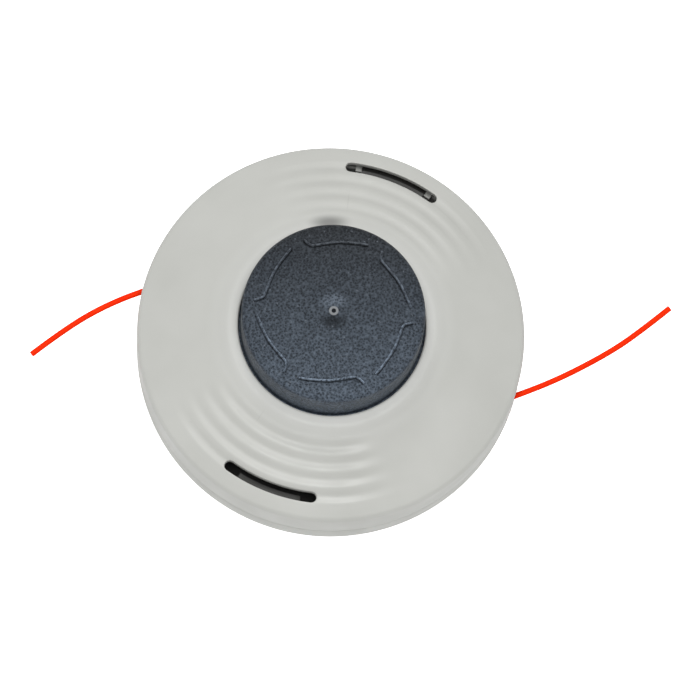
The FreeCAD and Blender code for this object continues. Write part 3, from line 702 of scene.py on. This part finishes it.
def knobFace():
    face = []
    inner = spool["knob"] - spool["knobRound"]
    for step in range(spool["knobRoundSteps"] + 1):
        angle = math.pi / 2 * step / spool["knobRoundSteps"]
        rise = spool["knobRound"] * (math.sin(angle) - 1)
        face.append((inner + spool["knobRound"] * math.cos(angle), spool["knobTop"] + rise))
    for step in range(1, spool["crownSteps"] + 1):
        radius = inner + (spool["mound"] - inner) * step / spool["crownSteps"]
        face.append((radius, crownHeight(radius)))
    top = spool["knobTop"] + spool["crown"]
    gate, hole = spool["gate"], spool["gateHole"]
    bendReach, bendRise = spool["moundBend"]
    face += [(gate * bendReach, top + spool["moundRise"] * bendRise), (gate, top + spool["moundRise"])]
    face += [(gate, top + spool["gateRise"]), (hole, top + spool["gateRise"])]
    face += [(hole, top - spool["gateDepth"]), (0, top - spool["gateDepth"])]
    return face


def addRibs(bm):
    curve = bpy.data.curves.new("ribLine", "CURVE")
    curve.dimensions = "3D"
    spline = curve.splines.new("NURBS")
    spline.points.add(len(spool["ribRoute"]) - 1)
    for point, (radius, sweep) in zip(spline.points, spool["ribRoute"]):
        height = crownHeight(min(radius, spool["knob"] - spool["knobRound"])) + spool["ribLift"]
        point.co = (*polarPoint(radius, spool["ribStart"] + sweep, height), 1)
    spline.order_u = spool["ribBendOrder"]
    spline.use_endpoint_u = True
    curve.resolution_u = spool["ribBendSteps"]
    curve.bevel_depth = spool["ribThickness"] * mm
    curve.bevel_resolution = spool["ribRoundSteps"]
    curve.use_fill_caps = True
    holder = bpy.data.objects.new("ribLine", curve)
    rib = bpy.data.meshes.new_from_object(holder)
    for _ in range(spool["ribCount"]):
        rib.transform(Matrix.Rotation(math.tau / spool["ribCount"], 4, "Z"))
        bm.from_mesh(rib)
    bpy.data.objects.remove(holder)
    bpy.data.meshes.remove(rib)


def makeSpoolFinish():
    def addSpan(name, toLow, toHigh):
        low, high = spool[name]
        return addRange(tree, axisDistance, low * mm, high * mm, toLow, toHigh)

    material, tree, shader, parts = startFinish(
        "spoolPlastic", dark=(0.0135, 0.0146, 0.0162), light=(0.0195, 0.021, 0.0232), roughness=(0.4, 0.55),
        clouds=70, grains=1300, fineShare=1.3, bumpStrength=0.9, bumpDepth=0.16 * mm)
    shader.inputs["Specular IOR Level"].default_value = 0.18
    shader.inputs["Specular Tint"].default_value = (0.8, 0.9, 1.0, 1)
    axisDistance = addAxisDistance(tree, parts["place"])
    # painted sheen: the knob's face is painted paler towards one side
    side = addNode(tree, "ShaderNodeVectorMath", operation="DOT_PRODUCT")
    side.inputs[1].default_value = polarPoint(1 / mm, spool["paintedLightAngle"], 0)
    tree.links.new(parts["place"], side.inputs[0])
    reach = spool["knob"] * mm
    sheenMix = addNode(tree, "ShaderNodeMix", data_type="RGBA")
    sheenMix.inputs["B"].default_value = spool["sheenColour"]
    tree.links.new(parts["colour"], sheenMix.inputs["A"])
    dustGrainAndSheen = addRange(tree, side.outputs["Value"], -reach, reach, 0.0, spool["sheenShare"])
    tree.links.new(dustGrainAndSheen, sheenMix.inputs["Factor"])
    # mottle that follows the grain, and rib tops painted paler: rubbed wear with a painted highlight
    mottle = addRange(tree, parts["grain"].outputs["Height"], *spool["mottleGrain"], *spool["mottleShade"])
    ball = (reach ** 2 + (spool["crown"] * mm) ** 2) / (2 * spool["crown"] * mm)
    curved = addMath(tree, "MULTIPLY", addMath(tree, "MULTIPLY", axisDistance, axisDistance), 0.5 / ball)
    split = addNode(tree, "ShaderNodeSeparateXYZ")
    tree.links.new(parts["place"], split.inputs["Vector"])
    above = addMath(tree, "SUBTRACT", split.outputs["Z"], (spool["knobTop"] + spool["crown"]) * mm)
    above = addMath(tree, "ADD", above, curved)
    ribLow, ribHigh = spool["ribHeights"]  # above the crown
    foot = addRange(tree, above, ribLow * mm, ribHigh * mm, 0.0, 1.0)
    raised = addMath(tree, "MULTIPLY", foot, addSpan("ribSpan", 0.0, 1.0))
    ridgeWearAndHighlight = addRange(tree, raised, spool["ribHighlightFrom"], 1.0, 1.0, spool["ribWearAndHighlight"])
    # painted light and shade: flanks of ribs and mound that face one way are painted paler, those that face
    # the other darker
    facing = addNode(tree, "ShaderNodeVectorMath", operation="DOT_PRODUCT")
    facing.inputs[1].default_value = polarPoint(-1 / mm, spool["paintedLightAngle"], 0)
    tree.links.new(parts["place"].node.outputs["Normal"], facing.inputs[0])
    lean = addMath(tree, "MULTIPLY", facing.outputs["Value"], addSpan("moundSpan", spool["moundLean"], 1.0))
    leanFrom, leanFull = spool["leanFrom"], spool["leanFull"]
    pale = addRange(tree, lean, leanFrom, leanFull, 0.0, spool["flankPaintedLight"])
    paintedShadeFlank = addRange(tree, lean, -leanFull, -leanFrom, spool["flankPaintedShade"], 0.0)
    flankLightAndShade = addMath(tree, "MULTIPLY", addMath(tree, "ADD", pale, paintedShadeFlank), addSpan("faceSpan", 1.0, 0.0))
    flank = addMath(tree, "ADD", flankLightAndShade, 1.0)
    # the gate's hole is painted darker: painted shade in the hole
    paintedPitShade = addSpan("pitSpan", spool["pitShade"], 1.0)
    shaded = addNode(tree, "ShaderNodeVectorMath", operation="SCALE")
    tree.links.new(sheenMix.outputs["Result"], shaded.inputs[0])
    relief = addMath(tree, "MULTIPLY", addMath(tree, "MULTIPLY", ridgeWearAndHighlight, flank), paintedPitShade)
    tree.links.new(addMath(tree, "MULTIPLY", mottle, relief), shaded.inputs["Scale"])
    # pale specks where the grain is rubbed, and the pale nib left at the moulding gate
    speck = addNode(tree, "ShaderNodeMix", data_type="RGBA")
    speck.inputs["B"].default_value = spool["speckColour"]
    tree.links.new(shaded.outputs["Vector"], speck.inputs["A"])
    rubbed = addMath(tree, "MULTIPLY", parts["grain"].outputs["Sparkle"], parts["cloud"].outputs["Gloss"])
    tree.links.new(addMath(tree, "MULTIPLY", rubbed, spool["speckShare"]), speck.inputs["Factor"])
    nibRing = addMath(tree, "MULTIPLY", addSpan("nibOuter", 1.0, 0.0), addSpan("nibInner", 0.0, 1.0))
    nib = addNode(tree, "ShaderNodeMix", data_type="RGBA")
    nib.inputs["B"].default_value = spool["nibColour"]
    tree.links.new(speck.outputs["Result"], nib.inputs["A"])
    tree.links.new(nibRing, nib.inputs["Factor"])
    tree.links.new(nib.outputs["Result"], shader.inputs["Base Color"])
    return material


def makeSpool():
    bm = bmesh.new()
    partLow, partHigh = spool["partition"]
    topLow, topHigh = spool["upperFlange"]
    ledgeLow, ledgeHigh = spool["shoulderSpan"]
    drum, flange, knob = spool["drum"], spool["flange"], spool["knob"]
    seatIn, seatOut = spool["seat"]
    cavityHigh, cavityLow = spool["cavityFoot"]
    levels = (spool["bottom"], spool["lowerFlange"], partLow, partHigh, topLow, topHigh)
    flanges = [(flange, level) for level in levels]
    shoulder = [(spool["shoulder"], ledgeLow), (spool["shoulder"], ledgeHigh)]
    section = [*reversed(knobFace())]
    section += [(knob, ledgeHigh), shoulder[1], shoulder[0], (knob, spool["neckFoot"]), (knob, topHigh)]
    section += [flanges[5], flanges[4], (drum, topLow), (drum, partHigh), flanges[3], flanges[2]]
    section += [(drum, partLow), (drum, spool["lowerFlange"]), flanges[1], flanges[0]]
    section += [(spool["bore"], spool["bottom"]), (spool["bore"], cavityLow), (spool["cavity"], cavityHigh)]
    ceiling, seatHeight = spool["ceiling"], spool["seatHeight"]
    section += [(spool["cavity"], ceiling), (seatOut, ceiling), (seatOut, seatHeight)]
    section += [(seatIn, seatHeight), (seatIn, ceiling), (0, ceiling)]
    spinProfile(bm, section, spool["steps"], closed=False)
    roundRings(bm, flanges + shoulder, spool["edge"], spool["edgeSteps"])
    inner, outer = spool["dogSpan"]
    for low, middle in spool["dogRows"]:
        high = low + spool["dogHeight"]
        for index in range(spool["dogCount"]):
            angle = middle + index * 360 / spool["dogCount"]
            addSector(bm, inner, outer, low, high, angle, spool["dogHalfAngle"], spool["dogSteps"])
    addRibs(bm)
    finishPiece("spoolKnob", bm, makeSpoolFinish(), "spool", ["spool"],
                sharpAngle=spool["creaseAngle"])


makeSpool()


# Upper housing: grey bowl on the machine's side, from the CAD solid with its edges eased

housing = {
    "mergeDistance": 0.002 * mm, "flatAngle": 0.3, "edge": 0.25 * mm, "edgeSteps": 2, "edgeAngle": 35.0,
    # painted shade inside the bowl and behind the slots: none beyond the outer radius and below the lower
    # height
    "innerShadeRadius": (61.2 * mm, 61.8 * mm), "innerShadeHeight": (8.45 * mm, 8.65 * mm),
    "innerShadeShare": 0.96, "innerShadeColour": (0.022, 0.022, 0.02, 1),
}


def makeHousingFinish():
    material, tree, shader, parts = startFinish(
        "housingPlastic", dark=(0.5, 0.505, 0.475), light=(0.545, 0.55, 0.52), roughness=(0.45, 0.58),
        clouds=45, grains=1900, fineShare=0.9, bumpStrength=0.15, bumpDepth=0.05 * mm)
    # the inside is painted near black: painted shade where the bowl lies in shadow
    split = addNode(tree, "ShaderNodeSeparateXYZ")
    tree.links.new(parts["place"], split.inputs["Vector"])
    axisDistance = addAxisDistance(tree, parts["place"])
    within = addRange(tree, axisDistance, *housing["innerShadeRadius"], housing["innerShadeShare"], 0.0)
    above = addRange(tree, split.outputs["Z"], *housing["innerShadeHeight"], 0.0, 1.0)
    innerShadeMix = addNode(tree, "ShaderNodeMix", data_type="RGBA")
    innerShadeMix.inputs["B"].default_value = housing["innerShadeColour"]
    tree.links.new(parts["colour"], innerShadeMix.inputs["A"])
    tree.links.new(addMath(tree, "MULTIPLY", within, above), innerShadeMix.inputs["Factor"])
    tree.links.new(innerShadeMix.outputs["Result"], shader.inputs["Base Color"])
    return material


def makeHousing():
    bm = bmesh.new()
    bm.from_mesh(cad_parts["upper_housing"].data)
    bmesh.ops.remove_doubles(bm, verts=bm.verts, dist=housing["mergeDistance"])
    flatAngle = math.radians(housing["flatAngle"])
    bmesh.ops.dissolve_limit(bm, angle_limit=flatAngle, verts=bm.verts, edges=bm.edges)
    piece = finishPiece("upperHousing", bm, makeHousingFinish(), "housing", ["upper_housing"],
                        sharpAngle=housing["edgeAngle"])
    eased = piece.modifiers.new("easedEdges", "BEVEL")
    eased.width = housing["edge"]
    eased.segments = housing["edgeSteps"]
    eased.limit_method = "ANGLE"
    eased.angle_limit = math.radians(housing["edgeAngle"])
    eased.harden_normals = True


makeHousing()


# Steel pieces: line eyelets, threaded insert, thrust washer and spring

steel = {
    "eyeletCentre": 61.7, "eyeletHeight": 22.5, "eyeletHalf": 3.15, "eyeletClamp": 1.65,
    "eyeletFlange": 5.8, "eyeletBody": 4.6, "eyeletThroat": 2.6, "eyeletMouth": 4.3, "eyeletBoreRows": 12,
    "eyeletSteps": 72, "eyeletEdge": 0.3, "eyeletEdgeSteps": 3,
    "insertSides": 6, "insertRadius": 9.8, "insertLength": 12.0, "insertEdge": 0.4, "insertEdgeSteps": 2,
    "insertCreaseAngle": 30, "insertSideCuts": 7,
    "threadRoot": 5.0, "threadCrest": 4.32, "threadPitch": 1.25, "threadSpan": (0.7, 11.3), "threadSteps": 48,
    "threadFlank": 0.42, "threadBury": 0.03,  # flank as a share of the pitch
    "washer": (11.5, 17.0), "washerSpan": (43.95, 45.15),
    "washerSteps": 96, "washerEdge": 0.2, "washerEdgeSteps": 2,
    "wire": 1.8, "coilRadius": 15.0, "coilSpan": (8.75, 43.9), "coilTurns": 4.5, "coilFlatTurns": 0.5,
    "coilSteps": 64, "coilSides": 20, "pressTravel": 7.0,
}


def makeSteelFinish():
    material, _, shader, _ = startFinish(
        "zincSteel", dark=(0.5, 0.5, 0.51), light=(0.68, 0.67, 0.65), roughness=(0.24, 0.42),
        clouds=220, grains=5200, fineShare=0.6, bumpStrength=0.15, bumpDepth=0.03 * mm)
    shader.inputs["Metallic"].default_value = 1.0
    return material


def makeEyelet(name, node, side, finish):
    bm = bmesh.new()
    half, clamp = steel["eyeletHalf"], steel["eyeletClamp"]
    swell = steel["eyeletMouth"] - steel["eyeletThroat"]
    ball = (half ** 2 + swell ** 2) / (2 * swell)
    flange, body = steel["eyeletFlange"], steel["eyeletBody"]
    section = [(flange, -half), (flange, -clamp), (body, -clamp)]
    section += [(body, clamp), (flange, clamp), (flange, half)]
    for row in range(steel["eyeletBoreRows"] + 1):
        along = half - 2 * half * row / steel["eyeletBoreRows"]
        section.append((steel["eyeletThroat"] + ball - math.sqrt(ball ** 2 - along ** 2), along))
    spinProfile(bm, section, steel["eyeletSteps"])
    flangeCorners = [corner for corner in section if corner[0] == flange]
    roundRings(bm, flangeCorners, steel["eyeletEdge"], steel["eyeletEdgeSteps"])
    place = Matrix.Translation(Vector((side * steel["eyeletCentre"], 0, steel["eyeletHeight"])) * mm)
    bmesh.ops.transform(bm, matrix=place @ Matrix.Rotation(side * math.pi / 2, 4, "Y"), verts=bm.verts)
    finishPiece(name, bm, finish, "housing", [node])


# Hexagonal insert with a left-hand thread
def makeInsert(finish):
    bm = bmesh.new()
    sides, radius = steel["insertSides"], steel["insertRadius"]
    bmesh.ops.create_circle(bm, segments=sides, radius=radius * mm)
    bmesh.ops.subdivide_edges(bm, edges=bm.edges[:], cuts=steel["insertSideCuts"])
    bmesh.ops.create_circle(bm, segments=steel["threadSteps"], radius=steel["threadRoot"] * mm)
    ring = bmesh.ops.bridge_loops(bm, edges=bm.edges[:])["faces"]
    raised = bmesh.ops.extrude_face_region(bm, geom=ring, use_keep_orig=True)["geom"]
    lifted = [item for item in raised if isinstance(item, bmesh.types.BMVert)]
    bmesh.ops.translate(bm, verts=lifted, vec=upward * steel["insertLength"] * mm)
    mouths = [(steel["threadRoot"], height) for height in (0, steel["insertLength"])]
    roundRings(bm, mouths, steel["insertEdge"], steel["insertEdgeSteps"])
    low, high = steel["threadSpan"]
    flank = steel["threadPitch"] * steel["threadFlank"]
    root, crest = steel["threadRoot"] + steel["threadBury"], steel["threadCrest"]
    corners = [polarPoint(root, 0, low - flank), polarPoint(crest, 0, low), polarPoint(root, 0, low + flank)]
    tooth = bm.faces.new([bm.verts.new(corner) for corner in corners])
    turns = (high - low) / steel["threadPitch"]
    steps = round(turns * steel["threadSteps"])
    bmesh.ops.spin(bm, geom=[tooth, *tooth.edges, *tooth.verts], cent=(0, 0, 0), axis=-upward,
                   angle=math.tau * turns, steps=steps, dvec=upward * (high - low) / steps * mm)
    finishPiece("threadedInsert", bm, finish, "housing", ["threaded_insert"],
                sharpAngle=steel["insertCreaseAngle"])


def makeWasher(finish):
    bm = bmesh.new()
    inner, outer = steel["washer"]
    low, high = steel["washerSpan"]
    corners = [(inner, low), (outer, low), (outer, high), (inner, high)]
    spinProfile(bm, corners, steel["washerSteps"])
    roundRings(bm, corners, steel["washerEdge"], steel["washerEdgeSteps"])
    finishPiece("thrustWasher", bm, finish, "thrust", ["thrust_washer"])


# Each end of the spring lies flat for half a turn
def makeSpring(finish):
    bm = bmesh.new()
    low, high = steel["coilSpan"]
    low += steel["wire"] / 2
    high -= steel["wire"] / 2
    start = Matrix.Translation(Vector((steel["coilRadius"], 0, low)) * mm)
    start @= Matrix.Rotation(math.pi / 2, 4, "X")
    made = bmesh.ops.create_circle(bm, segments=steel["coilSides"], radius=steel["wire"] / 2 * mm,
                                   cap_ends=True, matrix=start)
    section = [*made["verts"], *bm.edges, *bm.faces]
    flat = (steel["coilFlatTurns"], 0.0)
    for turns, rise in (flat, (steel["coilTurns"], high - low), flat):
        steps = round(turns * steel["coilSteps"])
        section = bmesh.ops.spin(bm, geom=section, cent=(0, 0, 0), axis=upward, angle=math.tau * turns,
                                 steps=steps, dvec=upward * rise / steps * mm)["geom_last"]
    piece = finishPiece("knobSpring", bm, finish, "housing", ["spring"])
    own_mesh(piece)


zincSteel = makeSteelFinish()
makeEyelet("eyeletRight", "eyelet_right", 1, zincSteel)
makeEyelet("eyeletLeft", "eyelet_left", -1, zincSteel)
makeInsert(zincSteel)
makeWasher(zincSteel)
makeSpring(zincSteel)


# Line wound on the spool, its outer turns lying side by side

winding = {
    "inner": 26.55, "outer": 37.0, "turns": 4, "turnSteps": 8, "steps": 120,
    "lowerChamber": (18.55, 26.45), "upperChamber": (27.75, 35.65),
}


def makeWinding(name, node, span):
    bm = bmesh.new()
    low, high = span
    turn = (high - low) / winding["turns"] / 2  # radius of one turn
    crest = winding["outer"] - turn
    section = [(winding["inner"], low), (crest, low)]
    for index in range(winding["turns"]):
        middle = low + turn * (2 * index + 1)
        for step in range(1, winding["turnSteps"] + 1):
            angle = math.pi * (step / winding["turnSteps"] - 0.5)
            section.append((crest + turn * math.cos(angle), middle + turn * math.sin(angle)))
    section.append((winding["inner"], high))
    spinProfile(bm, section, winding["steps"])
    finishPiece(name, bm, lineNylon, "spool", [node])


makeWinding("windingLower", "line_winding_lower", winding["lowerChamber"])
makeWinding("windingUpper", "line_winding_upper", winding["upperChamber"])
